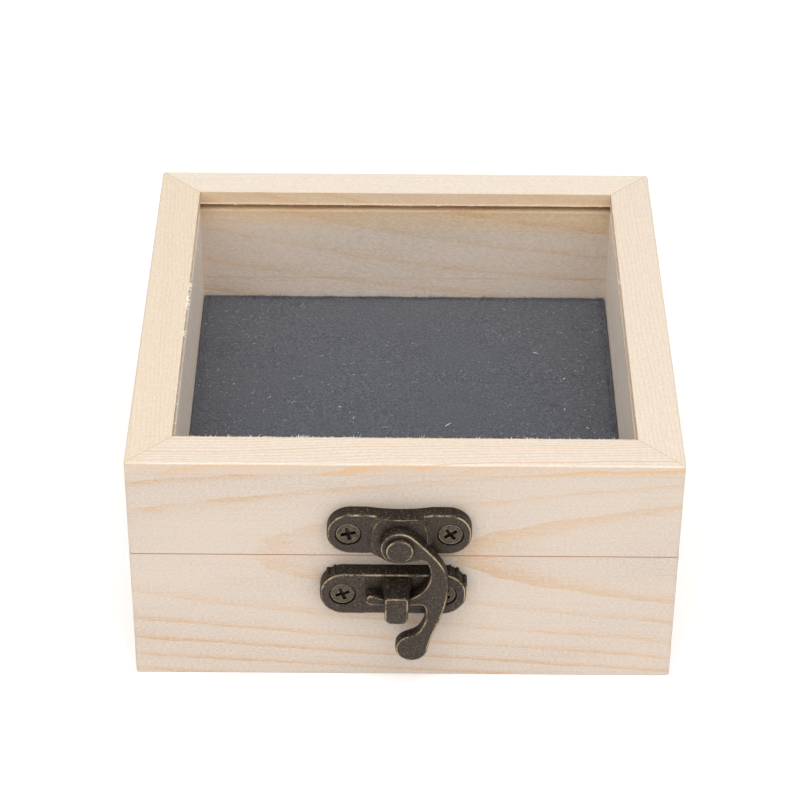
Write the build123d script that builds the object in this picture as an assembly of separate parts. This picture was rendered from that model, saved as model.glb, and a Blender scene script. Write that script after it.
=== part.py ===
from build123d import *
from math import cos, radians, sin
import os

# Square pine display box with a hinged glass lid, a foam pad and a swing-hook latch.
# Millimetres. +X is to the right, +Y to the back and +Z up; the latch is on the front (-Y) face.
# The origin is the middle of the underside.

# Box
box_side = 102.0
box_height = 50.2
board = 8.2               # thickness of the walls, and width of the top trim
base_top = 29.11          # where the base ends
lid_bottom = 29.19        # where the lid starts
trim_thickness = 2.45
corner_round = 0.6        # sanded vertical corners
edge_break = 0.3          # sanded outer edges, top and bottom
saw_break = 0.05          # broken edge along the saw cut between base and lid

# Bottom panel, let into a rabbet round the base
panel_thickness = 3.0
rabbet = 4.0
panel_play = 0.1

# Glass, held in a groove round the lid
glass_thickness = 1.2
glass_top = 46.95
groove_depth = 3.0
groove_top = 47.3
glass_play = 0.2

# Foam pad
pad_top = 24.5
pad_play = 0.1

# Latch. x is across the front wall and z is the height above the underside.
# "Proud", "front" and "back" are distances out from the wall.
rivet_x = -0.83
rivet_z = 34.96
screw_spacing = 18.8

plate_x = -0.9
plate_z = 35.97
plate_length = 26.7
plate_height = 9.25
plate_proud = 2.45
plate_corner = 4.4
waist_radius = 36.0
waist_dip = 0.5
boss_radius = 5.1
boss_rise = 1.2           # the boss is an upright oval, taller than wide by this much
boss_proud = 3.4
boss_slope = 40           # of its skirt, in degrees from upright
boss_round = 0.2
plate_round = 0.55

catch_x = -1.98
catch_z = 22.2
catch_length = 27.26
catch_height = 9.6
catch_proud = 3.0
catch_corner = 4.5
# Rough lumps left by the casting on the plate's upper corners: place round the corner in
# degrees, radius and height
right_burrs = ((72, 0.30, 2.7), (52, 0.42, 2.2), (24, 0.5, 2.6))
left_burrs = ((130, 0.4, 2.4), (112, 0.25, 2.7))

post_x = -1.33
post_front = 8.9
head_width = 4.4
head_top = 26.0
head_bottom = 19.75
head_round = 0.45
head_low_corner = 1.4
head_top_corner = 0.7
notch_front = 5.7
neck_width = 5.9          # where it leaves the plate
neck_top = 26.4
neck_height = 4.4
neck_root_corner = 0.8
neck_sink = 0.2           # how far it starts inside the plate
neck_end_width = 4.3      # where it meets the head
neck_end_corner = 0.7
neck_reach = 0.4          # how far it runs into the head
hook_play = 0.15          # between the post's neck and the hook round it

hook_back = 3.5
hook_front = 5.5
hook_round = 0.5
ring_radius = 3.6
hook_bore = 1.35
swing_radius = 12.2       # inside of the prong, about the rivet
throat_radius = 6.1
throat_angle = -94.3      # where the throat's arc runs into the prong's, about the rivet
notch_radius = swing_radius - hook_play
tail_x = 1.55
tail_z = 11.1
tail_radius = 3.05

rivet_shank = 1.3
rivet_head = 2.58
rivet_head_back = 5.6
rivet_head_front = 6.35
rivet_round = 0.45
rivet_tail = 2.2          # the riveted-over end, sunk in the plate's back
rivet_tail_depth = 0.8

# Latch screws: radii, and how deep they sit
screw_head = 2.2
screw_shank = 1.0
screw_length = 8.5
screw_sink = 0.2
screw_well = 2.48

# Hinges on the back wall. "Reach" is a height above or below the pivot.
hinge_x = 27.0
hinge_width = 18.0
leaf_thickness = 0.8
leaf_reach_near = 1.75
leaf_reach_far = 11.0
leaf_corner = 1.2
barrel_radius = 1.5
barrel_bore = 0.85
barrel_gap = 0.2          # between the barrel and the wall
knuckle_half = 2.9        # half the width of the middle knuckle
knuckle_gap = 0.15
knuckle_start = 0.5       # reach at which a knuckle's tab starts
tab_overlap = 1.0         # how far a tab runs into its leaf
pin_radius = 0.8
pin_overhang = 0.25
hinge_screw_x = 5.6
hinge_screw_reach = 7.0
hinge_screw_head = 1.45
hinge_screw_shank = 0.7
hinge_screw_length = 6.0
hinge_screw_sink = 0.02
hinge_screw_well = 1.52
hinge_screw_turn = 10     # how far the cross recesses are turned, in degrees
hinge_screw_turn_step = 25

screw_point = 1.5         # length of a screw's pointed end, in shank radii
screw_point_end = 0.2     # radius at the very tip, in shank radii
cross_length = 1.3        # cross recess, in radii of the head
cross_width = 0.34
cross_depth = 0.45
seat_play = 0.02          # round a screw or rivet in its own seat
seat_room = 1.0           # kept clear in front of a screw's head
pilot_depth = 0.2         # left below a screw's tip
well_share = 0.3          # depth of the well round a screw's head, as a share of its radius

half = box_side / 2
inner_half = half - board
trim_bottom = box_height - trim_thickness
pivot_y = half + barrel_gap + barrel_radius
pivot_z = (base_top + lid_bottom) / 2
front_face = Plane(origin=(0, -half, 0), x_dir=(1, 0, 0), z_dir=(0, -1, 0))
back_face = Plane(origin=(0, half, 0), x_dir=(-1, 0, 0), z_dir=(0, 1, 0))
side_turns = {"front": 0, "right": 90, "back": 180, "left": 270}
upright = (Align.CENTER, Align.CENTER, Align.MIN)


def slab(half_width, low, high):
    """A square block centred on the Z axis."""
    return Pos(0, 0, low) * Box(2 * half_width, 2 * half_width, high - low, align=upright)


def outer_block(low, high, bottom_break, top_break):
    """The box's outer shape between two heights, with rounded corners and broken edges."""
    block = slab(half, low, high)
    block = fillet(block.edges().filter_by(Axis.Z), corner_round)
    if bottom_break:
        block = chamfer(block.faces().sort_by(Axis.Z)[0].edges(), bottom_break)
    if top_break:
        block = chamfer(block.faces().sort_by(Axis.Z)[-1].edges(), top_break)
    return block


def base_ring():
    ring = outer_block(0, base_top, edge_break, saw_break)
    ring -= slab(inner_half, 0, base_top)
    return ring - slab(inner_half + rabbet, 0, panel_thickness)


def lid_ring():
    ring = outer_block(lid_bottom, trim_bottom, saw_break, 0)
    ring -= slab(inner_half, lid_bottom, trim_bottom)
    return ring - slab(inner_half + groove_depth, glass_top - glass_thickness, groove_top)


def trim_ring():
    ring = outer_block(trim_bottom, box_height, 0, edge_break)
    return ring - slab(inner_half, trim_bottom, box_height)


def mitred(ring, turn):
    """One side of a square ring, cut at 45 degrees at both ends."""
    wedge = Polygon((0, 0), (-box_side, -box_side), (box_side, -box_side), align=None)
    return ring & Rot(0, 0, turn) * extrude(wedge, box_height)


def out_from(face, x, z, low, high, radius, end_radius=None):
    """A round piece standing out from a wall: a cylinder, or a cone if end_radius is given."""
    if end_radius is None:
        piece = Cylinder(radius, high - low, align=upright)
    else:
        piece = Cone(radius, end_radius, high - low, align=upright)
    return face * Pos(x, z, low) * piece


def screw(face, x, z, proud, head, shank, length, turn):
    """A countersunk screw with a cross recess. Its head's flat face stands at proud."""
    under_head = proud - (head - shank)
    tip = proud - length
    tip_start = tip + screw_point * shank
    body = out_from(face, x, z, under_head, proud, shank, head)
    body += out_from(face, x, z, tip_start, under_head, shank)
    body += out_from(face, x, z, tip, tip_start, screw_point_end * shank, shank)
    for quarter in (0, 90):
        arm = Box(cross_length * head, cross_width * head, cross_depth * head,
                  align=(Align.CENTER, Align.CENTER, Align.MAX))
        body -= face * Pos(x, z, proud) * Rot(0, 0, turn + quarter) * arm
    return body


def screw_seat(face, x, z, proud, head, shank, length, well):
    """The room for a countersunk screw in a plate and in the wall behind it."""
    bottom = proud - length - pilot_depth
    under_head = proud - (head - shank)
    seat = out_from(face, x, z, proud - well_share * head, proud + seat_room, well)
    seat += out_from(face, x, z, under_head, proud, shank + seat_play, head + seat_play)
    return seat + out_from(face, x, z, bottom, under_head, shank + seat_play)


latch_screw_places = {
    "plate": [(plate_x - screw_spacing / 2, plate_z), (plate_x + screw_spacing / 2, plate_z)],
    "catch": [(catch_x - screw_spacing / 2, catch_z), (catch_x + screw_spacing / 2, catch_z)],
}
latch_screw_turns = {"plate": (12, 35), "catch": (20, 50)}


def latch_screws(which, proud):
    screws = []
    for place, turn in zip(latch_screw_places[which], latch_screw_turns[which]):
        screws.append(screw(front_face, *place, proud - screw_sink, screw_head, screw_shank,
                            screw_length, turn))
    return screws


def latch_screw_seats(which, proud):
    return [screw_seat(front_face, *place, proud - screw_sink, screw_head, screw_shank,
                       screw_length, screw_well)
            for place in latch_screw_places[which]]


def latch_plate():
    """The upper plate: two screw lobes and a raised boss that carries the rivet."""
    lobes = Pos(plate_x, plate_z) * RectangleRounded(plate_length, plate_height, plate_corner)
    waist_z = plate_z + plate_height / 2 - waist_dip + waist_radius
    lobes -= Pos(rivet_x, waist_z) * Circle(waist_radius)
    outline = lobes + Pos(rivet_x, rivet_z) * Circle(boss_radius)
    plate = extrude(outline, plate_proud)
    plate = fillet(plate.faces().sort_by(Axis.Z)[-1].edges(), plate_round)
    oval = SlotOverall(2 * boss_radius + boss_rise, 2 * boss_radius, rotation=90)
    boss = extrude(Pos(rivet_x, rivet_z + boss_rise / 2) * oval, -boss_proud, taper=-boss_slope)
    boss = Pos(0, 0, boss_proud) * boss & extrude(outline, boss_proud)
    boss = fillet(boss.faces().sort_by(Axis.Z)[-1].edges(), boss_round)
    plate = front_face * (plate + boss)
    plate -= out_from(front_face, rivet_x, rivet_z, 0, boss_proud, rivet_shank + seat_play)
    plate -= out_from(front_face, rivet_x, rivet_z, 0, rivet_tail_depth, rivet_tail + seat_play,
                      rivet_shank + seat_play)
    return plate


def rivet():
    """The hook's pivot: a domed head in front, and its back end spread in the plate."""
    body = out_from(front_face, rivet_x, rivet_z, 0, rivet_tail_depth, rivet_tail, rivet_shank)
    body += out_from(front_face, rivet_x, rivet_z, rivet_tail_depth, rivet_head_back, rivet_shank)
    head = out_from(front_face, rivet_x, rivet_z, rivet_head_back, rivet_head_front, rivet_head)
    head = fillet(head.edges().filter_by(GeomType.CIRCLE).sort_by(Axis.Y)[0], rivet_round)
    return body + head


def about_rivet(radius, angle):
    return (rivet_x + radius * cos(radians(angle)), rivet_z + radius * sin(radians(angle)))


def along_circle(angle, way=1):
    """The direction of travel round a circle at an angle: way is 1 anticlockwise, -1 clockwise."""
    return (-way * sin(radians(angle)), way * cos(radians(angle)))


throat_x, throat_z = about_rivet(swing_radius - throat_radius, throat_angle)


def hook():
    """The swinging hook: an eye for the rivet, a curved arm, a prong and a round thumb tail."""
    # Places on the circles, in degrees
    eye_right, eye_left, eye_below = 47, 170, -78
    tail_right, tail_bottom, tail_left = -10, -120, 125
    throat_right, throat_top = -40, 12
    tip_angle, prong_middle = -114.5, -104

    def on_tail(angle):
        return (tail_x + tail_radius * cos(radians(angle)), tail_z + tail_radius * sin(radians(angle)))

    def on_throat(angle):
        return (throat_x + throat_radius * cos(radians(angle)),
                throat_z + throat_radius * sin(radians(angle)))

    # Points on the outline between the circles
    back_points = [(4.6, 34.4), (7.45, 30.3), (8.26, 25.3), (7.6, 20.7), (6.3, 16.6)]
    gap_points = [(2.45, 15.0), (3.7, 17.2)]
    lip_end = (2.9, 32.08)
    crook = (4.1, 19.5)
    prong_start = (2.9, 21.58)
    prong_end = (-5.6, 21.55)
    tip = (-7.0, 23.1)
    upward, leftward = (0, 1), (-1, -0.1)
    back = Spline(about_rivet(ring_radius, eye_right), *back_points, on_tail(tail_right),
                  tangents=(along_circle(eye_right, -1), along_circle(tail_right, -1)))
    tail = ThreePointArc(on_tail(tail_right), on_tail(tail_bottom), on_tail(tail_left))
    gap = Spline(on_tail(tail_left), *gap_points, crook,
                 tangents=(along_circle(tail_left, -1), upward))
    corner = Spline(crook, prong_start, tangents=(upward, leftward))
    below = TangentArc(prong_start, prong_end, tangent=leftward)
    end = Spline(prong_end, tip, about_rivet(swing_radius, tip_angle),
                 tangents=(below % 1, along_circle(tip_angle)))
    prong = ThreePointArc(about_rivet(swing_radius, tip_angle), about_rivet(swing_radius, prong_middle),
                          about_rivet(swing_radius, throat_angle))
    throat = ThreePointArc(about_rivet(swing_radius, throat_angle), on_throat(throat_right),
                           on_throat(throat_top))
    lip_corner = Spline(on_throat(throat_top), lip_end,
                        tangents=(along_circle(throat_top), along_circle(eye_below, -1)))
    lip = Line(lip_end, about_rivet(ring_radius, eye_below))
    eye = ThreePointArc(about_rivet(ring_radius, eye_below), about_rivet(ring_radius, eye_left),
                        about_rivet(ring_radius, eye_right))
    outline = make_face([back, tail, gap, corner, below, end, prong, throat, lip_corner, lip, eye])
    body = extrude(outline, hook_front - hook_back, dir=(0, 0, 1))
    body = fillet(body.faces().sort_by(Axis.Z)[-1].edges(), hook_round)
    body -= Pos(rivet_x, rivet_z) * Cylinder(hook_bore, hook_front, align=upright)
    return front_face * Pos(0, 0, hook_back) * body


def casting_burrs(burrs, side):
    """Lumps round the catch plate's upper corner. side is 1 on the right and -1 on the left."""
    corner_x = catch_x + side * (catch_length / 2 - catch_corner)
    corner_z = catch_z + catch_height / 2 - catch_corner
    return [extrude(Pos(corner_x + catch_corner * cos(radians(angle)),
                        corner_z + catch_corner * sin(radians(angle))) * Circle(radius), height)
            for angle, radius, height in burrs]


def catch_plate():
    """The lower plate, and its post, whose drooping head traps the hook's prong."""
    outline = Pos(catch_x, catch_z) * RectangleRounded(catch_length, catch_height, catch_corner)
    plate = extrude(outline, catch_proud)
    plate = fillet(plate.faces().sort_by(Axis.Z)[-1].edges(), plate_round)
    for burr in casting_burrs(right_burrs, 1) + casting_burrs(left_burrs, -1):
        plate += burr
    plate = front_face * plate
    head = Rectangle(head_width, head_top - head_bottom)
    head = fillet(head.vertices().sort_by(Axis.Y)[:2], head_low_corner)
    head = fillet(head.vertices().sort_by(Axis.Y)[-2:], head_top_corner)
    head = extrude(Pos(post_x, (head_top + head_bottom) / 2, notch_front) * head,
                   post_front - notch_front)
    head = fillet(head.faces().sort_by(Axis.Z)[-1].edges(), head_round)
    neck_bottom = neck_top - neck_height
    root = RectangleRounded(neck_width, neck_height, neck_root_corner)
    root = Pos(post_x, neck_top - neck_height / 2, catch_proud - neck_sink) * root
    tip = RectangleRounded(neck_end_width, head_top - neck_bottom, neck_end_corner)
    tip = Pos(post_x, (head_top + neck_bottom) / 2, notch_front + neck_reach) * tip
    inside = Pos(rivet_x, rivet_z) * Circle(notch_radius)
    inside &= Pos(throat_x, throat_z) * Circle(throat_radius - hook_play)
    below = extrude(Pos(rivet_x, rivet_z) * Circle(2 * swing_radius) - inside, notch_front)
    post = head + (loft([root, tip]) - below)
    return plate + front_face * post


def ring_knuckles(spans):
    """Barrel rings along X over the given spans, still without their bore."""
    knuckles = []
    for low, high in spans:
        ring = Rot(0, 90, 0) * Cylinder(barrel_radius, high - low, align=upright)
        knuckles.append(Pos(low, pivot_y, pivot_z) * ring)
    return knuckles


def hinge_leaf(x, up, spans):
    """A leaf on the back wall. up is 1 for the lid's leaf and -1 for the base's."""
    height = leaf_reach_far - leaf_reach_near
    centre_z = pivot_z + up * (leaf_reach_near + leaf_reach_far) / 2
    plate = extrude(Pos(-x, centre_z) * RectangleRounded(hinge_width, height, leaf_corner),
                    leaf_thickness)
    leaf = back_face * plate
    tab_end = leaf_reach_near + tab_overlap
    for low, high in spans:
        tab = Pos(-x - (low + high) / 2, pivot_z + up * (knuckle_start + tab_end) / 2)
        tab *= Rectangle(high - low, tab_end - knuckle_start)
        leaf += back_face * extrude(tab, leaf_thickness)
    for knuckle in ring_knuckles(spans):
        leaf += Pos(x, 0, 0) * knuckle
    bore = Rot(0, 90, 0) * Cylinder(barrel_bore, 2 * hinge_width)
    leaf -= Pos(x, pivot_y, pivot_z) * bore
    for seat in hinge_screw_seats(x, up):
        leaf -= seat
    return leaf


def hinge_screw_places(x, up):
    z = pivot_z + up * hinge_screw_reach
    return [(-x - hinge_screw_x, z), (-x + hinge_screw_x, z)]


def hinge_screw_seats(x, up):
    return [screw_seat(back_face, *place, leaf_thickness - hinge_screw_sink, hinge_screw_head,
                       hinge_screw_shank, hinge_screw_length, hinge_screw_well)
            for place in hinge_screw_places(x, up)]


def hinge_screws(up):
    screws = []
    for x in (-hinge_x, hinge_x):
        for number, place in enumerate(hinge_screw_places(x, up)):
            screws.append(screw(back_face, *place, leaf_thickness - hinge_screw_sink,
                                hinge_screw_head, hinge_screw_shank, hinge_screw_length,
                                hinge_screw_turn_step * number - hinge_screw_turn * up))
    return screws


def hinge_pin(x):
    length = hinge_width + 2 * pin_overhang
    pin = Rot(0, 90, 0) * Cylinder(pin_radius, length)
    pin = fillet(pin.edges().filter_by(GeomType.CIRCLE), pin_overhang)
    return Pos(x, pivot_y, pivot_z) * pin


def save(node, *solids):
    shape = solids[0] if len(solids) == 1 else Compound(children=list(solids))
    export_step(shape, f"parts/{node}.step")


def cut(board_solid, seats):
    for seat in seats:
        board_solid -= seat
    return board_solid


def main():
    os.makedirs("parts", exist_ok=True)
    rings = {"base": base_ring(), "lid": lid_ring(), "trim": trim_ring()}
    for side, turn in side_turns.items():
        seats = {"base": [], "lid": []}
        if side == "front":
            seats["base"] = latch_screw_seats("catch", catch_proud)
            seats["lid"] = latch_screw_seats("plate", plate_proud)
        if side == "back":
            for x in (-hinge_x, hinge_x):
                seats["base"] += hinge_screw_seats(x, -1)
                seats["lid"] += hinge_screw_seats(x, 1)
        save(f"base_{side}_wall", cut(mitred(rings["base"], turn), seats["base"]))
        save(f"lid_{side}_wall", cut(mitred(rings["lid"], turn), seats["lid"]))
        save(f"top_trim_{side}", mitred(rings["trim"], turn))

    save("bottom_panel", slab(inner_half + rabbet - panel_play, 0, panel_thickness))
    save("foam_pad", slab(inner_half - pad_play, panel_thickness, pad_top))
    save("glass_pane", slab(inner_half + groove_depth - glass_play,
                            glass_top - glass_thickness, glass_top))

    save("latch_plate", cut(latch_plate(), latch_screw_seats("plate", plate_proud)))
    save("latch_plate_screws", *latch_screws("plate", plate_proud))
    save("latch_rivet", rivet())
    save("latch_hook", hook())
    save("catch_plate", cut(catch_plate(), latch_screw_seats("catch", catch_proud)))
    save("catch_plate_screws", *latch_screws("catch", catch_proud))

    middle = [(-knuckle_half, knuckle_half)]
    outer = [(-hinge_width / 2, -knuckle_half - knuckle_gap),
             (knuckle_half + knuckle_gap, hinge_width / 2)]
    for side, x in (("left", -hinge_x), ("right", hinge_x)):
        save(f"base_hinge_leaf_{side}", hinge_leaf(x, -1, outer))
        save(f"lid_hinge_leaf_{side}", hinge_leaf(x, 1, middle))
        save(f"hinge_pin_{side}", hinge_pin(x))
    save("base_hinge_screws", *hinge_screws(-1))
    save("lid_hinge_screws", *hinge_screws(1))


main()
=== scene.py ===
import math
import random

import bmesh
import bpy
from mathutils import Matrix, Vector, noise


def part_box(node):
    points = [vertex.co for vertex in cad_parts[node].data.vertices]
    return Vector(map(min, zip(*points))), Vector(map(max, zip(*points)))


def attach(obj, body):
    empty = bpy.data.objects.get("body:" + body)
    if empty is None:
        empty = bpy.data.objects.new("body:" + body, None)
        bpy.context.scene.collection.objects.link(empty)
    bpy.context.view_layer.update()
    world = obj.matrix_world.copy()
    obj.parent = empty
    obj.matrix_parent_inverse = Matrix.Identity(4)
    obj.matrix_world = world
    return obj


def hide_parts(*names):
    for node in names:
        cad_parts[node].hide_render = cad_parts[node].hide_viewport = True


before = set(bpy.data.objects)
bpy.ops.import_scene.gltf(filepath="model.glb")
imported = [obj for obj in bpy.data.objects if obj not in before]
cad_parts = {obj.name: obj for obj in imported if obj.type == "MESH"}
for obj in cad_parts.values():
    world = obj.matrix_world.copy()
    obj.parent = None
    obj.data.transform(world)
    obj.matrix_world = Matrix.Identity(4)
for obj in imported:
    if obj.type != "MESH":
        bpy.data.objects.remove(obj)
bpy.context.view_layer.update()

MM = 0.001
HALF_SIDE = 51.0            # of the box, in millimetres


# ---------------------------------------------------------------- camera

def make_camera():
    """The photograph's view: in front, above, a long lens, and a slight roll."""
    pitch, yaw, roll = (math.radians(angle) for angle in (35.7145, 0.1486, 0.4979))
    place = Vector((-2.04, -455.8, 355.7)) * MM
    level = math.cos(pitch)
    ahead = Vector((math.sin(yaw) * level, math.cos(yaw) * level, -math.sin(pitch)))
    right = Vector((math.cos(yaw), -math.sin(yaw), 0))
    up = right.cross(ahead)
    right_rolled = math.cos(roll) * right + math.sin(roll) * up
    up_rolled = -math.sin(roll) * right + math.cos(roll) * up
    data = bpy.data.cameras.new("camera")
    data.lens = 126.0
    data.sensor_width = 36.0
    data.clip_start = 0.01
    camera = bpy.data.objects.new("camera", data)
    turn = Matrix((right_rolled, up_rolled, -ahead)).transposed()
    camera.matrix_world = Matrix.Translation(place) @ turn.to_4x4()
    bpy.context.scene.collection.objects.link(camera)
    bpy.context.scene.camera = camera


# ---------------------------------------------------------------- node helpers

class Nodes:
    """Short calls for building one material's node tree."""

    def __init__(self, name):
        self.material = bpy.data.materials.new(name)
        self.material.use_nodes = True
        self.tree = self.material.node_tree
        self.tree.nodes.clear()
        self.output = self.tree.nodes.new("ShaderNodeOutputMaterial")

    def put(self, value, socket):
        if isinstance(value, bpy.types.NodeSocket):
            self.tree.links.new(value, socket)
        elif value is not None:
            socket.default_value = value

    def node(self, kind, *values, **settings):
        made = self.tree.nodes.new(kind)
        named = {}
        for key, value in settings.items():
            if key in made.inputs.keys() or key.replace("_", " ") in made.inputs.keys():
                named[key if key in made.inputs.keys() else key.replace("_", " ")] = value
            else:
                setattr(made, key, value)
        for socket, value in zip(made.inputs, values):
            self.put(value, socket)
        for key, value in named.items():
            self.put(value, made.inputs[key])
        return made

    def math(self, operation, a, b=None, c=None):
        return self.node("ShaderNodeMath", a, b, c, operation=operation).outputs[0]

    def add(self, a, b):
        return self.math("ADD", a, b)

    def sub(self, a, b):
        return self.math("SUBTRACT", a, b)

    def mul(self, a, b):
        return self.math("MULTIPLY", a, b)

    def ramp(self, value, low, high, start=0.0, end=1.0):
        """value from low to high becomes start to end, smoothly and held past both."""
        made = self.node("ShaderNodeMapRange", value, low, high, start, end,
                         interpolation_type="SMOOTHSTEP")
        return made.outputs[0]

    def mix(self, share, a, b, blend="MIX"):
        made = self.tree.nodes.new("ShaderNodeMix")
        made.data_type = "RGBA"
        made.blend_type = blend
        for socket, value in ((made.inputs[0], share), (made.inputs[6], a), (made.inputs[7], b)):
            if isinstance(value, tuple) and len(value) == 3:
                value = (*value, 1.0)
            self.put(value, socket)
        return made.outputs[2]

    def place(self):
        """The point in the row frame, in metres, as x, y and z."""
        return self.node("ShaderNodeTexCoord").outputs["Object"]

    def split(self, vector):
        return self.node("ShaderNodeSeparateXYZ", vector).outputs[:3]

    def join(self, x, y, z):
        return self.node("ShaderNodeCombineXYZ", x, y, z).outputs[0]

    def tint(self, share, colour, factors):
        """The colour times the factors, by share."""
        return self.mix(share, colour, factors, "MULTIPLY")

    def noise(self, vector, scale, detail=2.0, roughness=0.5):
        made = self.node("ShaderNodeTexNoise", Vector=vector, Scale=scale, Detail=detail,
                         Roughness=roughness, Distortion=0.0)
        return made.outputs[0]

    def grain(self, board, scales, detail=2.0, roughness=0.5, seed=None):
        """Noise over a board, with its own scale, in 1/mm, along it, into it and up it."""
        along, depth, height = (self.mul(part, scale) for part, scale in zip(board, scales))
        if seed is not None:
            height = self.add(height, seed)
        return self.noise(self.join(along, depth, height), 1.0, detail, roughness)

    def pick(self, number):
        """A random share for each whole number."""
        made = self.node("ShaderNodeTexWhiteNoise", W=number, noise_dimensions="1D")
        return made.outputs[0]

    def bump(self, height, distance, strength):
        made = self.node("ShaderNodeBump", Strength=strength, Distance=distance, Height=height)
        return made.outputs[0]

    def finish(self, **inputs):
        shader = self.tree.nodes.new("ShaderNodeBsdfPrincipled")
        for key, value in inputs.items():
            self.put(value, shader.inputs[key.replace("_", " ")])
        self.tree.links.new(shader.outputs[0], self.output.inputs[0])
        return self.material


# ---------------------------------------------------------------- pine

EARLY = (0.606, 0.520, 0.450)       # pale spring wood
LATE = (0.590, 0.405, 0.262)        # orange summer wood
STRIP_TOP = (0.728, 0.640, 0.553)
STRIP_EDGE = (0.625, 0.508, 0.410)
STRIP_LATE = (0.66, 0.45, 0.285)
DASH = (0.56, 0.42, 0.31)
CLOUD = (0.66, 0.55, 0.45)
SEAM = (0.48, 0.25, 0.12)
MITRE = (0.46, 0.30, 0.18)
INNER_FACE = (7.9, 8.15)            # depths between which the inner face's colour comes in: a painted lightening on the walls, a tint on the trims
GROOVE_BACK = (4.8, 5.1)            # and the glass groove's painted lightening
GROOVE_REACH = (0.9, 1.0)           # half the groove's height
SEAM_WIDTH = (0.04, 0.20)
SEAM_DEPTH = (0.08, 0.25)
MITRE_WIDTH = (0.05, 0.28)
WARM_BAND = (39.5, 44.5)            # heights between which the inside grows warmer
WARM_SLOPE = 0.03
PITH_DEPTH = 38.3                   # of the pith line behind a board's outer face
PITH_TILT = 0.0456                  # how much that changes along the board
FIRST_RING = 37.95                  # radius where the rings are counted from
STRIP_SPACING = 0.85                # between a strip's lines
STRIP_LEAN = 0.25
STRIP_DRIFT = 0.03
WHITE = (1.0, 1.0, 1.0)


def board_axes(n, turn, shift):
    """Along the board, into the board from its outer face, and height, in millimetres."""
    angle = math.radians(turn)
    turned = n.node("ShaderNodeMapping", Vector=n.place(), Rotation=(0, 0, -angle),
                    Scale=(1 / MM, 1 / MM, 1 / MM)).outputs[0]
    along, depth, height = n.split(turned)
    return n.add(along, shift), n.add(depth, HALF_SIDE), height


def glass_middle():
    """Height of the middle of the glass, in millimetres."""
    low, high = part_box("glass_pane")
    return (low[2] + high[2]) / 2 / MM


def pores(n, board):
    """Share of the fine speckle that sanded pine has, a little longer along the board."""
    return n.ramp(n.grain(board, (1.6, 3.6, 3.6), 2.0, 0.7), 0.36, 0.66)


def growth_rings(n, board, pith_depth, tilt, pith_height, spacing, seed):
    """Whole number of the ring, and how far across it a point is, from 0 to 1."""
    along, depth, height = board
    sway = n.sub(n.grain(board, (0.03, 0.05, 0.07), seed=seed), 0.5)
    flutter = n.sub(n.grain(board, (0.13, 0.2, 0.5), 3.0, 0.6, seed), 0.5)
    distance = n.sub(n.sub(pith_depth, n.mul(along, tilt)), depth)
    rise = n.add(n.sub(height, pith_height), n.mul(sway, 2.0))
    radius = n.math("SQRT", n.add(n.mul(distance, distance), n.mul(rise, rise)))
    radius = n.add(radius, n.mul(flutter, 0.5))
    phase = n.math("DIVIDE", n.sub(radius, FIRST_RING), spacing)
    wider = n.ramp(radius, 38.0, 39.4, 0.0, 0.15)
    narrower = n.ramp(radius, 40.0, 41.5, 0.0, -0.07)
    phase = n.add(phase, n.add(wider, narrower))
    return n.math("FLOOR", phase), n.math("FRACT", phase)


# The walls' inner factor is painted light: it lightens the inner faces and the glass groove.
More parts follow.
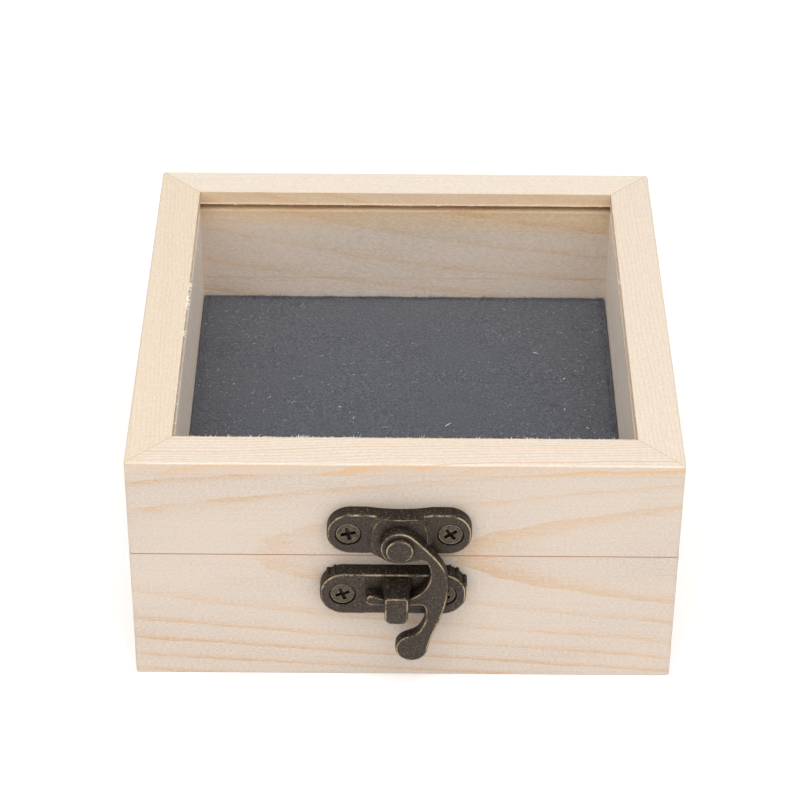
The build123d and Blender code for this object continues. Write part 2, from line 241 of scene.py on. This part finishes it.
def pine(name, turn, pith_depth=PITH_DEPTH, tilt=PITH_TILT, pith_height=29.6, shift=0.0,
         spacing=2.0, seams=(), faint_ring=None, warm_top=None, inner=(1.50, 1.52, 1.56), seed=0.0):
    """Flat-sawn pine: growth rings about a pith line behind the board's outer face."""
    n = Nodes(name)
    board = board_axes(n, turn, shift)
    along, depth, height = board
    ring, part = growth_rings(n, board, pith_depth, tilt, pith_height, spacing, seed)
    strength = n.pick(n.add(ring, seed + 3.0))
    late = n.mul(n.ramp(part, 0.45, 0.97), n.ramp(part, 0.97, 1.0, 1.0, 0.0))
    late = n.math("POWER", late, 2.3)
    patch = n.grain(board, (0.08, 0.1, 0.25))
    late = n.mul(late, n.add(n.mul(strength, 0.55), n.ramp(patch, 0.35, 0.7, 0.35, 0.95)))
    if faint_ring is not None:
        late = n.mul(late, n.sub(1.0, n.mul(n.math("COMPARE", ring, faint_ring, 0.5), 0.42)))
    broken = n.grain(board, (0.35, 1.5, 2.2), 3.0, 0.6)
    late = n.mul(late, n.ramp(broken, 0.38, 0.62, 0.55, 1.2))
    streak = n.grain(board, (0.05, 1.6, 2.6))
    late = n.add(late, n.ramp(streak, 0.49, 0.66, 0.0, 0.26))
    fibre = n.grain(board, (0.25, 6.0, 6.0), 3.0, 0.7)
    dash = n.grain(board, (0.6, 9.0, 12.0), 1.0)
    off_glass = n.math("ABSOLUTE", n.sub(height, glass_middle()))
    # painted light: the glass groove, in shade under the lip, is lightened along with the inner
    # faces
    groove_lightened = n.mul(n.ramp(off_glass, *GROOVE_REACH, 1.0, 0.0), n.ramp(depth, *GROOVE_BACK))
    inside_lightened = n.math("MAXIMUM", n.ramp(depth, *INNER_FACE), groove_lightened)
    late = n.mul(late, n.sub(1.0, n.mul(inside_lightened, 0.45)))
    colour = n.mix(late, EARLY, LATE)
    colour = n.tint(n.ramp(fibre, 0.3, 0.7, 0.0, 0.5), colour, (0.94, 0.92, 0.89))
    colour = n.tint(pores(n, board), colour, (0.84, 0.83, 0.81))
    colour = n.mix(n.ramp(dash, 0.66, 0.74, 0.0, 0.35), colour, DASH)
    cloud = n.grain(board, (0.02, 0.05, 0.06))
    colour = n.mix(n.ramp(cloud, 0.3, 0.7), colour, n.mix(0.35, colour, CLOUD))
    # painted light: the inner faces and the groove lightened by the inner factor
    colour = n.mix(inside_lightened, colour, n.tint(1.0, colour, inner))
    if warm_top is not None:
        warm = n.mul(inside_lightened, n.ramp(n.sub(height, n.mul(along, WARM_SLOPE)), *WARM_BAND))
        colour = n.mix(warm, colour, n.tint(1.0, colour, warm_top))
    # Dark lines along the seams: a dark joint line at the trim, and painted shade in the parting
    # gap between lid and base.
    for seam_z, darkness in seams:
        close = n.math("ABSOLUTE", n.sub(height, seam_z))
        skin = n.ramp(depth, *SEAM_DEPTH, 1.0, 0.0)
        colour = n.mix(n.mul(n.ramp(close, *SEAM_WIDTH, darkness, 0.0), skin), colour, SEAM)
    normal = n.bump(n.add(n.mul(fibre, 0.5), n.mul(late, -0.25)), 0.05 * MM, 0.6)
    rough = n.ramp(fibre, 0.2, 0.8, 0.50, 0.68)
    return n.finish(Base_Color=colour, Roughness=rough, Normal=normal, Specular_IOR_Level=0.3)


def pine_strip(name, turn, strength=1.0, tint=WHITE, inner=(0.97, 0.82, 0.66), seed=0.0):
    """Straight-grained pine strip: fine lines along it on top, broken patches on its edge."""
    n = Nodes(name)
    board = board_axes(n, turn, 0.0)
    along, depth, height = board
    sway = n.sub(n.grain(board, (0.025, 0.08, 0.1), seed=seed), 0.5)
    flutter = n.sub(n.grain(board, (0.15, 0.8, 0.5), seed=seed), 0.5)
    across = n.sub(n.add(depth, n.mul(height, STRIP_LEAN)), n.mul(along, STRIP_DRIFT))
    across = n.add(across, n.add(n.mul(sway, 3.0), n.mul(flutter, 0.35)))
    phase = n.math("DIVIDE", across, STRIP_SPACING)
    part = n.math("FRACT", phase)
    line = n.pick(n.add(n.math("FLOOR", phase), seed + 5.0))
    late = n.mul(n.ramp(part, 0.35, 0.95), n.ramp(part, 0.95, 1.0, 1.0, 0.0))
    late = n.mul(n.math("POWER", late, 1.5), n.mul(n.add(n.mul(line, 0.6), 0.35), strength))
    fibre = n.grain(board, (0.3, 7.0, 7.0), 3.0, 0.7)
    edge_face = n.ramp(depth, 0.02, 0.12, 1.0, 0.0)
    late = n.mul(late, n.add(n.mul(edge_face, 0.5), 1.0))
    colour = n.mix(late, n.mix(edge_face, STRIP_TOP, STRIP_EDGE), STRIP_LATE)
    colour = n.tint(1.0, colour, tint)
    colour = n.mix(n.ramp(depth, *INNER_FACE), colour, n.tint(1.0, colour, inner))
    colour = n.tint(n.ramp(fibre, 0.3, 0.7, 0.0, 0.5), colour, (0.95, 0.93, 0.90))
    colour = n.tint(pores(n, board), colour, (0.90, 0.89, 0.87))
    gap = n.math("ABSOLUTE", n.sub(n.math("ABSOLUTE", along), n.sub(HALF_SIDE, depth)))
    colour = n.mix(n.ramp(gap, *MITRE_WIDTH, 0.42, 0.0), colour, MITRE)
    normal = n.bump(n.add(n.mul(fibre, 0.5), n.mul(late, -0.2)), 0.05 * MM, 0.6)
    rough = n.ramp(fibre, 0.2, 0.8, 0.50, 0.66)
    return n.finish(Base_Color=colour, Roughness=rough, Normal=normal, Specular_IOR_Level=0.3)


# ---------------------------------------------------------------- metal, glass, foam

# dark patina in the metal's hollows, and painted shade between parts, laid on by ambient occlusion
PATINA_AND_SHADE = (0.006, 0.005, 0.004)


def antique_bronze(name, dark, brass_tone, edge=None):
    """Dark plated casting: much darker on faces turned away from front and back, with dark patina
    and painted shade in its hollows and between parts, and brassy on its edges, from wear and a
    painted highlight.

    Where edge is given, in millimetres, the brassy edges are sharp ones found within that
    distance. Where it isn't, they are the rounded edges between a front face and a side.
    """
    n = Nodes(name)
    where = n.place()
    grain = n.noise(where, 2900.0, 3.0, 0.75)
    cloud = n.noise(where, 300.0, 3.0, 0.55)
    facing = n.math("ABSOLUTE", n.split(n.node("ShaderNodeTexCoord").outputs["Normal"])[1])
    # Brassy edges, part wear and part painted highlight: rounded ones found by the normal's
    # direction, or sharp ones found by the bevel and weighted to faces that look to the front.
    if edge is None:
        edges = n.mul(n.ramp(facing, 0.60, 0.82), n.ramp(facing, 0.94, 0.99, 1.0, 0.0))
    else:
        flat = n.node("ShaderNodeNewGeometry").outputs["Normal"]
        soft = n.node("ShaderNodeBevel", Radius=edge * MM, samples=6).outputs[0]
        turn = n.node("ShaderNodeVectorMath", flat, soft, operation="DOT_PRODUCT").outputs["Value"]
        sharp = n.ramp(n.sub(1.0, turn), 0.02, 0.14)
        edges = n.mul(sharp, n.ramp(facing, 0.25, 0.75, 0.35, 1.0))
    wear_and_highlight = n.mul(edges, n.ramp(n.add(n.mul(grain, 0.7), cloud), 0.70, 1.02, 0.05, 1.0))
    around = n.node("ShaderNodeAmbientOcclusion", Distance=1.5 * MM, samples=6).outputs["AO"]
    darkest_tone = tuple(c * 0.28 for c in dark)
    # much darker on faces turned away from front and back, set by their direction alone
    colour = n.mix(n.ramp(facing, 0.35, 0.95), darkest_tone, dark)
    colour = n.tint(n.ramp(cloud, 0.35, 0.7, 0.0, 0.5), colour, (0.80, 1.0, 1.15))
    colour = n.mix(n.ramp(grain, 0.50, 0.62, 0.0, 0.7), colour, tuple(c * 2.1 for c in dark))
    colour = n.mix(n.ramp(grain, 0.36, 0.48, 0.8, 0.0), colour, darkest_tone)
    speck = n.mul(n.ramp(grain, 0.60, 0.68), n.ramp(facing, 0.4, 0.95, 0.55, 0.28))
    colour = n.mix(speck, colour, tuple(c * 0.6 for c in brass_tone))
    # brass tone on the edges: wear, and a painted highlight
    colour = n.mix(n.mul(wear_and_highlight, 0.85), colour, brass_tone)
    # darkened by ambient occlusion: dark patina in the hollows, and painted shade where parts come
    # close
    colour = n.mix(n.ramp(around, 0.30, 0.80, 0.85, 0.0), colour, PATINA_AND_SHADE)
    normal = n.bump(n.add(n.mul(grain, 0.8), cloud), 0.07 * MM, 0.8)
    rough = n.ramp(grain, 0.25, 0.75, 0.38, 0.58)
    return n.finish(Base_Color=colour, Metallic=n.add(n.mul(wear_and_highlight, 0.5), 0.2), Roughness=rough,
                    Normal=normal, Specular_IOR_Level=0.28)


def clear_glass():
    """Float glass: what is behind it, and a mirror's share that grows as it is seen aslant."""
    n = Nodes("clear_glass")
    through = n.node("ShaderNodeBsdfTransparent", (0.985, 0.990, 0.987, 1.0)).outputs[0]
    mirror = n.node("ShaderNodeBsdfAnisotropic", (1.0, 1.0, 1.0, 1.0), 0.02).outputs[0]
    aslant = n.node("ShaderNodeLayerWeight", 0.5).outputs["Facing"]
    share = n.add(n.mul(n.math("POWER", aslant, 5.0), 0.97), 0.03)
    both = n.node("ShaderNodeMixShader", share, through, mirror).outputs[0]
    n.tree.links.new(both, n.output.inputs[0])
    return n.material


def foam():
    n = Nodes("charcoal_foam")
    where = n.place()
    fine = n.noise(where, 2300.0, 3.0, 0.65)
    blotch = n.noise(where, 110.0, 3.0, 0.55)
    colour = n.mix(n.ramp(fine, 0.38, 0.64), (0.056, 0.058, 0.072), (0.121, 0.125, 0.149))
    colour = n.mix(n.ramp(blotch, 0.35, 0.7, 0.0, 0.35), colour, (0.095, 0.099, 0.113))
    normal = n.bump(fine, 0.25 * MM, 0.8)
    return n.finish(Base_Color=colour, Roughness=0.95, Normal=normal, Specular_IOR_Level=0.15,
                    Sheen_Weight=0.25, Sheen_Roughness=0.5)


def lint():
    n = Nodes("lint")
    tone = n.noise(n.place(), 300.0, 1.0)
    colour = n.mix(n.ramp(tone, 0.3, 0.7), (0.62, 0.62, 0.63), (0.90, 0.89, 0.86))
    return n.finish(Base_Color=colour, Roughness=0.8)


def splinter_wood():
    n = Nodes("splinter_wood")
    tone = n.noise(n.place(), 800.0, 1.0)
    colour = n.mix(n.ramp(tone, 0.3, 0.7), (0.86, 0.78, 0.66), (0.95, 0.92, 0.86))
    return n.finish(Base_Color=colour, Roughness=0.7)


# ---------------------------------------------------------------- dressing the CAD nodes

def give(node, material):
    """Puts one material on every slot of a CAD node."""
    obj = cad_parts[node]
    if not obj.material_slots:
        obj.data.materials.append(material)
    for held in obj.material_slots:
        held.material = material


# One row a side: how far the board is turned, and how its walls and its trim differ
# The walls' inner factors are painted light on their inner faces; the trims' inner factors tint
# their inner faces.
SIDES = (
    ("front", 0, dict(faint_ring=0.0), dict(strength=1.15)),
    ("right", 90,
     dict(shift=96.0, pith_depth=PITH_DEPTH + PITH_TILT * 96.0 + 2.1, pith_height=20.0,
          warm_top=(0.90, 0.85, 0.77), inner=(1.66, 1.74, 1.84)),
     dict(strength=0.4, tint=(1.0, 0.985, 0.955), inner=(1.05, 0.98, 0.90))),
    ("back", 180,
     dict(tilt=-0.22, pith_height=78.0, spacing=5.6,
          warm_top=(1.01, 0.90, 0.72), inner=(1.46, 1.45, 1.46)),
     dict(strength=0.4, tint=(1.035, 1.05, 1.04))),
    ("left", 270,
     dict(shift=290.0, pith_depth=PITH_DEPTH + PITH_TILT * 290.0 + 8.3, pith_height=12.0,
          warm_top=(0.90, 0.85, 0.77), inner=(1.66, 1.74, 1.84)),
     dict(strength=0.4, tint=(0.99, 0.955, 0.885), inner=(1.05, 1.00, 0.95))),
)


def dress_wood():
    trim_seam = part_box("top_trim_front")[0][2] / MM
    parting = (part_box("base_front_wall")[1][2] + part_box("lid_front_wall")[0][2]) / 2 / MM
    # the parting line's darkness is painted shade of the gap between lid and base
    seams = ((trim_seam, 0.30), (parting, 0.85))
    for number, (side, turn, walls, trim) in enumerate(SIDES):
        wood = pine(f"pine_{side}", turn, seams=seams, seed=1.7 * number, **walls)
        give(f"base_{side}_wall", wood)
        give(f"lid_{side}_wall", wood)
        give(f"top_trim_{side}", pine_strip(f"pine_trim_{side}", turn, seed=2.3 * number, **trim))
    give("bottom_panel", pine("pine_panel", 0, pith_depth=30.0, pith_height=-45.0, seed=9.0))


def dress_metal():
    # each finish: its dark tone, then the brass tone of its edges, which is wear and a painted
    # highlight
    latch = antique_bronze("latch_bronze", (0.040, 0.027, 0.019), (0.50, 0.38, 0.22))
    screws = antique_bronze("bronze_screws", (0.066, 0.049, 0.033), (0.44, 0.34, 0.19), edge=0.2)
    hinges = antique_bronze("hinge_bronze", (0.046, 0.032, 0.023), (0.48, 0.37, 0.21), edge=0.25)
    for node in ("latch_plate", "latch_rivet", "latch_hook", "catch_plate"):
        give(node, latch)
    for place in ("latch_plate", "catch_plate", "base_hinge", "lid_hinge"):
        give(f"{place}_screws", screws)
    for side in ("left", "right"):
        for node in ("base_hinge_leaf", "lid_hinge_leaf", "hinge_pin"):
            give(f"{node}_{side}", hinges)


# ---------------------------------------------------------------- pad, lint and splinters

def new_piece(name, verts, faces, material, body):
    mesh = bpy.data.meshes.new(name)
    mesh.from_pydata(verts, [], faces)
    mesh.materials.append(material)
    piece = bpy.data.objects.new(name, mesh)
    bpy.context.scene.collection.objects.link(piece)
    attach(piece, body)
    return piece


def ripple(x, y, z, size):
    """Smooth noise from -1 to 1 whose lumps are about size millimetres across."""
    return noise.noise(Vector((x, y, z)) / size)


PAD_RIM = 0.4               # radius of the pad's upper edge, in millimetres
PAD_CUTS = 79               # in each edge of the cube that the pad is shaped from


def pad_top_at(x, y):
    """Height of the pad's uneven top, in millimetres."""
    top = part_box("foam_pad")[1][2] / MM
    return top + 0.15 + 0.22 * ripple(x, y, 0.0, 22.0) + 0.10 * ripple(x, y, 5.0, 4.5)


def foam_block(material):
    """The pad: a foam slab with a soft rounded rim and a slightly lumpy top."""
    low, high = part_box("foam_pad")
    half, floor = high[0] / MM, low[2] / MM
    rim = PAD_RIM
    shape = bmesh.new()
    bmesh.ops.create_cube(shape, size=2.0)
    bmesh.ops.subdivide_edges(shape, edges=shape.edges, cuts=PAD_CUTS, use_grid_fill=True)
    for v in shape.verts:
        x, y = (math.copysign(1 - (1 - min(abs(c), 1.0)) ** 1.5, c) * half for c in v.co[:2])
        inset = min(half - abs(x), half - abs(y))
        upper = pad_top_at(x, y)
        share = (v.co.z + 1) / 2
        z = floor + (upper - floor) * (1 - (1 - share) ** 1.5)
        if upper - z < rim and inset < rim:
            over, down = rim - inset, rim - (upper - z)
            reach = math.hypot(over, down)
            if reach > rim:
                pull = rim / reach
                x -= math.copysign(max(0.0, over * (1 - pull)), x) if half - abs(x) < rim else 0
                y -= math.copysign(max(0.0, over * (1 - pull)), y) if half - abs(y) < rim else 0
                z -= down * (1 - pull)
        if share > 0:
            wave = 0.05 + 0.07 * ripple(x, y, z, 2.5)
            x *= 1 - wave / half
            y *= 1 - wave / half
        v.co = Vector((x, y, z)) * MM
    mesh = bpy.data.meshes.new("foam_block")
    shape.to_mesh(mesh)
    shape.free()
    mesh.materials.append(material)
    for face in mesh.polygons:
        face.use_smooth = True
    piece = bpy.data.objects.new("foam_block", mesh)
    bpy.context.scene.collection.objects.link(piece)
    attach(piece, "base")
    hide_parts("foam_pad")


class Strands:
    """Many thin closed curved slivers in one mesh."""

    def __init__(self, seed):
        self.random = random.Random(seed)
        self.verts, self.faces = [], []

    def strand(self, start, heading, length, width, curl=0.5, steps=2):
        """A three-sided sliver from start along heading, bending as it goes, to a point."""
        pick = self.random
        heading = Vector(heading).normalized()
        bend = Vector((pick.uniform(-1, 1), pick.uniform(-1, 1), pick.uniform(-0.6, 0.6))) * curl
        side = heading.orthogonal().normalized()
        other = heading.cross(side)
        first, at = len(self.verts), Vector(start)
        for step in range(steps):
            thin = width * (1 - 0.5 * step / steps) / 2
            for corner in range(3):
                angle = math.tau * corner / 3
                around = side * math.cos(angle) + other * math.sin(angle)
                self.verts.append((at + around * thin) * MM)
            at = at + (heading + bend * (step + 0.5) / steps) * (length / steps)
        self.verts.append(at * MM)
        self.faces.append((first + 2, first + 1, first))
        for step in range(steps - 1):
            row = first + 3 * step
            for corner in range(3):
                after = (corner + 1) % 3
                self.faces.append((row + corner, row + after, row + 3 + after, row + 3 + corner))
        row, tip = first + 3 * (steps - 1), len(self.verts) - 1
        for corner in range(3):
            self.faces.append((row + corner, row + (corner + 1) % 3, tip))

    def piece(self, name, material, body, slot):
        return new_piece(name, self.verts, self.faces, material, body)


FLOCK_COUNT = 9000


def flock(material):
    """Short fibres over the pad, upright along its rim and nearly flat elsewhere."""
    fibres = Strands(11)
    pick = fibres.random
    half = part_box("foam_pad")[1][0] / MM - 0.5
    for number in range(FLOCK_COUNT):
        x, y = pick.uniform(-half, half), pick.uniform(-half, half)
        rim = number % 3 == 0
        if rim:
            edge = pick.uniform(half - 1.0, half + 0.15)
            x, y = pick.choice(((x, edge), (x, edge), (edge, y), (-edge, y)))
        lift = pick.uniform(0.8, 2.2) if rim else pick.uniform(0.1, 0.6)
        heading = (pick.uniform(-1, 1), pick.uniform(-1, 0.2), lift)
        drop = 0.3 * max(0.0, 1 - (half + 0.4 - max(abs(x), abs(y))) / 0.9) ** 2
        start = (x, y, pad_top_at(x, y) - 0.06 - drop)
        length = pick.uniform(0.3, 0.75)
        if rim:
            tuft = max(0.0, ripple(x, 0.0, 12.0, 1.4) + ripple(x, 0.0, 14.0, 5.0))
            length = (0.9 + 0.8 * tuft) * length
        fibres.strand(start, heading, length, pick.uniform(0.07, 0.14))
    fibres.piece("pad_flock", material, "base", "charcoal_foam")


LARGE_LINT = (
    # x, y and length in millimetres, on the pad
    (8.3, -4.6, 1.3), (-10.2, -1.9, 0.8), (32.4, 1.4, 0.7), (26.8, 21.5, 0.9),
    (-42.0, 9.0, 0.6), (-39.3, 8.4, 0.5), (-22.6, 11.3, 0.6), (-34.8, 9.6, 0.7),
    (-27.2, 5.1, 0.6), (-13.2, 1.8, 0.6), (32.6, 12.2, 0.7), (36.5, -4.4, 1.0),
)


LARGE_LINT_WIDTH = 0.22
LINT_COUNT = 1000
HAIR_SHARE = 0.4
HAIR_LENGTH, HAIR_WIDTH = (0.4, 1.2), (0.03, 0.055)
DUST_LENGTH, DUST_WIDTH = (0.10, 0.28), (0.07, 0.13)


def pad_lint(material):
    """Pale dust and hairs lying on the pad, more of them towards the front and the right."""
    bits = Strands(23)
    pick = bits.random
    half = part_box("foam_pad")[1][0] / MM - 0.8
    spots = [(x, y, length, LARGE_LINT_WIDTH) for x, y, length in LARGE_LINT]
    while len(spots) < LINT_COUNT:
        x, y = pick.uniform(-half, half), pick.uniform(-half, half)
        likely = 0.10 + 0.35 * (half - y) / (2 * half) + 0.55 * max(0.0, abs(x) / half - 0.35)
        clump = ripple(x, y, 9.0, 9.0)
        if pick.random() > likely * (1.0 + 1.6 * clump):
            continue
        hair = pick.random() < HAIR_SHARE
        length = pick.uniform(*(HAIR_LENGTH if hair else DUST_LENGTH))
        spots.append((x, y, length, pick.uniform(*(HAIR_WIDTH if hair else DUST_WIDTH))))
    for x, y, length, width in spots:
        angle = pick.uniform(0, math.tau)
        heading = (math.cos(angle), math.sin(angle), pick.uniform(0.0, 0.2))
        start = (x, y, pad_top_at(x, y) + 0.28)
        bits.strand(start, heading, length, width, curl=0.8, steps=4)
    bits.piece("pad_lint", material, "base", "charcoal_foam")


FRONT_TRIES, SIDE_TRIES, LIP_TRIES = 1400, 330, 260
LEFT_CLUMPS = (
    # y, spread and number of fibres, along the left trim
    (7.2, 0.6, 44), (2.6, 0.9, 34), (0.2, 0.5, 46), (-9.5, 0.3, 14),
)
LIP_RISE = 0.35             # the underside of the lip, above the top of the glass


def trim_splinters(material):
    """Torn fibres: along the front, on the sides, in clumps on the left, under the back lip."""
    fuzz = Strands(37)
    pick = fuzz.random
    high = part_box("top_trim_front")[1]
    inner, top = high[1] / MM, high[2] / MM
    reach = -inner
    for _ in range(FRONT_TRIES):
        x = pick.uniform(-reach + 0.5, reach - 0.5)
        if pick.random() > 0.30 + 0.9 * max(0.0, ripple(x, 0.0, 3.0, 5.0)) + 0.3 * (x < -18):
            continue
        start = (x, inner - 0.05, top - pick.uniform(0.05, 0.45))
        heading = (pick.uniform(-1.5, 1.5), pick.uniform(0.4, 1.0), pick.uniform(-0.1, 0.6))
        length = pick.uniform(0.15, 0.55) + 0.5 * max(0.0, pick.uniform(-4.0, 1.0))
        fuzz.strand(start, heading, length, pick.uniform(0.06, 0.15), 0.9, 3)
    for _ in range(SIDE_TRIES):
        y = pick.uniform(-reach + 1, reach - 1)
        side = pick.choice((-1, -1, -1, 1))
        if pick.random() > 0.10 + 1.1 * max(0.0, ripple(side * 7.0, y, 6.0, 6.0)):
            continue
        start = (side * (reach + 0.05), y, top - pick.uniform(0.05, 0.45))
        heading = (-side * pick.uniform(0.4, 1.0), pick.uniform(-1.0, 1.0), pick.uniform(-0.2, 0.7))
        fuzz.strand(start, heading, pick.uniform(0.25, 0.8), pick.uniform(0.05, 0.13), 0.9, 3)
    for middle, spread, count in LEFT_CLUMPS:
        for _ in range(count):
            start = (-reach - 0.1, pick.gauss(middle, spread), top - pick.uniform(0.0, 0.35))
            heading = (pick.uniform(0.2, 1.0), pick.uniform(-1.2, 1.2), pick.uniform(0.0, 0.9))
            fuzz.strand(start, heading, pick.uniform(0.4, 1.0), pick.uniform(0.12, 0.22), 1.1, 3)
    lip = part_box("glass_pane")[1][2] / MM + LIP_RISE
    for _ in range(LIP_TRIES):
        x = pick.uniform(-reach + 0.3, reach - 0.3)
        if pick.random() > 0.45 + 0.9 * ripple(x, 4.0, 3.0, 4.0):
            continue
        start = (x, reach + 0.02, lip + pick.uniform(0.0, 0.12))
        heading = (pick.uniform(-1.0, 1.0), pick.uniform(-0.5, -0.1), pick.uniform(-0.9, -0.1))
        fuzz.strand(start, heading, pick.uniform(0.2, 0.45), pick.uniform(0.06, 0.14), 0.6, 2)
    fuzz.piece("trim_splinters", material, "lid", "pine_trim")


# ---------------------------------------------------------------- stage

DIM_PATCH = (0.0, 0.81, 0.58)       # its direction, high at the back, where the glass mirrors it
DIM_EDGE = (0.84, 0.95)             # cosines between which the sky grows dim
SKY_LEVEL, DIM_LEVEL = 0.6, 0.15


def make_stage():
    """A plain white floor, a sky with a dim patch high at the back, and three soft lamps."""
    floor = bpy.data.meshes.new("floor")
    reach = 3.0
    corners = [(x * reach, y * reach, 0) for x, y in ((-1, -1), (1, -1), (1, 1), (-1, 1))]
    floor.from_pydata(corners, [], [(0, 1, 2, 3)])
    ground = bpy.data.objects.new("floor", floor)
    bpy.context.scene.collection.objects.link(ground)
    n = Nodes("floor_white")
    floor.materials.append(n.finish(Base_Color=(0.95, 0.955, 0.96, 1.0), Roughness=0.9,
                                    Emission_Color=(1.0, 1.0, 1.0, 1.0), Emission_Strength=0.08))

    world = bpy.data.worlds.new("world")
    bpy.context.scene.world = world
    world.use_nodes = True
    sky_tree = world.node_tree
    sky = sky_tree.nodes["Background"]
    sky.inputs[0].default_value = (1.0, 1.0, 1.0, 1.0)
    toward = sky_tree.nodes.new("ShaderNodeTexCoord").outputs["Generated"]
    to_dim = sky_tree.nodes.new("ShaderNodeVectorMath")
    to_dim.operation = "DOT_PRODUCT"
    to_dim.inputs[1].default_value = DIM_PATCH
    sky_tree.links.new(toward, to_dim.inputs[0])
    level = sky_tree.nodes.new("ShaderNodeMapRange")
    level.interpolation_type = "SMOOTHSTEP"
    for place, value in enumerate((*DIM_EDGE, SKY_LEVEL, DIM_LEVEL)):
        level.inputs[place + 1].default_value = value
    sky_tree.links.new(to_dim.outputs["Value"], level.inputs[0])
    sky_tree.links.new(level.outputs[0], sky.inputs[1])

    lamps = (
        ("top_lamp", (0.0, -0.25, 1.1), 1.1, 9.0),
        ("left_lamp", (-0.75, -0.9, 0.95), 0.9, 4.5),
        ("right_lamp", (0.75, -0.9, 0.95), 0.9, 4.5),
    )
    for name, place, width, power in lamps:
        data = bpy.data.lights.new(name, "AREA")
        data.size = width
        data.energy = power
        lamp = bpy.data.objects.new(name, data)
        lamp.location = place
        aim = Vector((0, 0, 0.03)) - Vector(place)
        lamp.rotation_euler = aim.to_track_quat("-Z", "Y").to_euler()
        bpy.context.scene.collection.objects.link(lamp)
    bpy.context.scene.view_settings.view_transform = "Standard"


make_camera()
make_stage()
dress_wood()
dress_metal()
give("glass_pane", clear_glass())
flocked = foam()
give("foam_pad", flocked)
foam_block(flocked)
flock(flocked)
pad_lint(lint())
trim_splinters(splinter_wood())
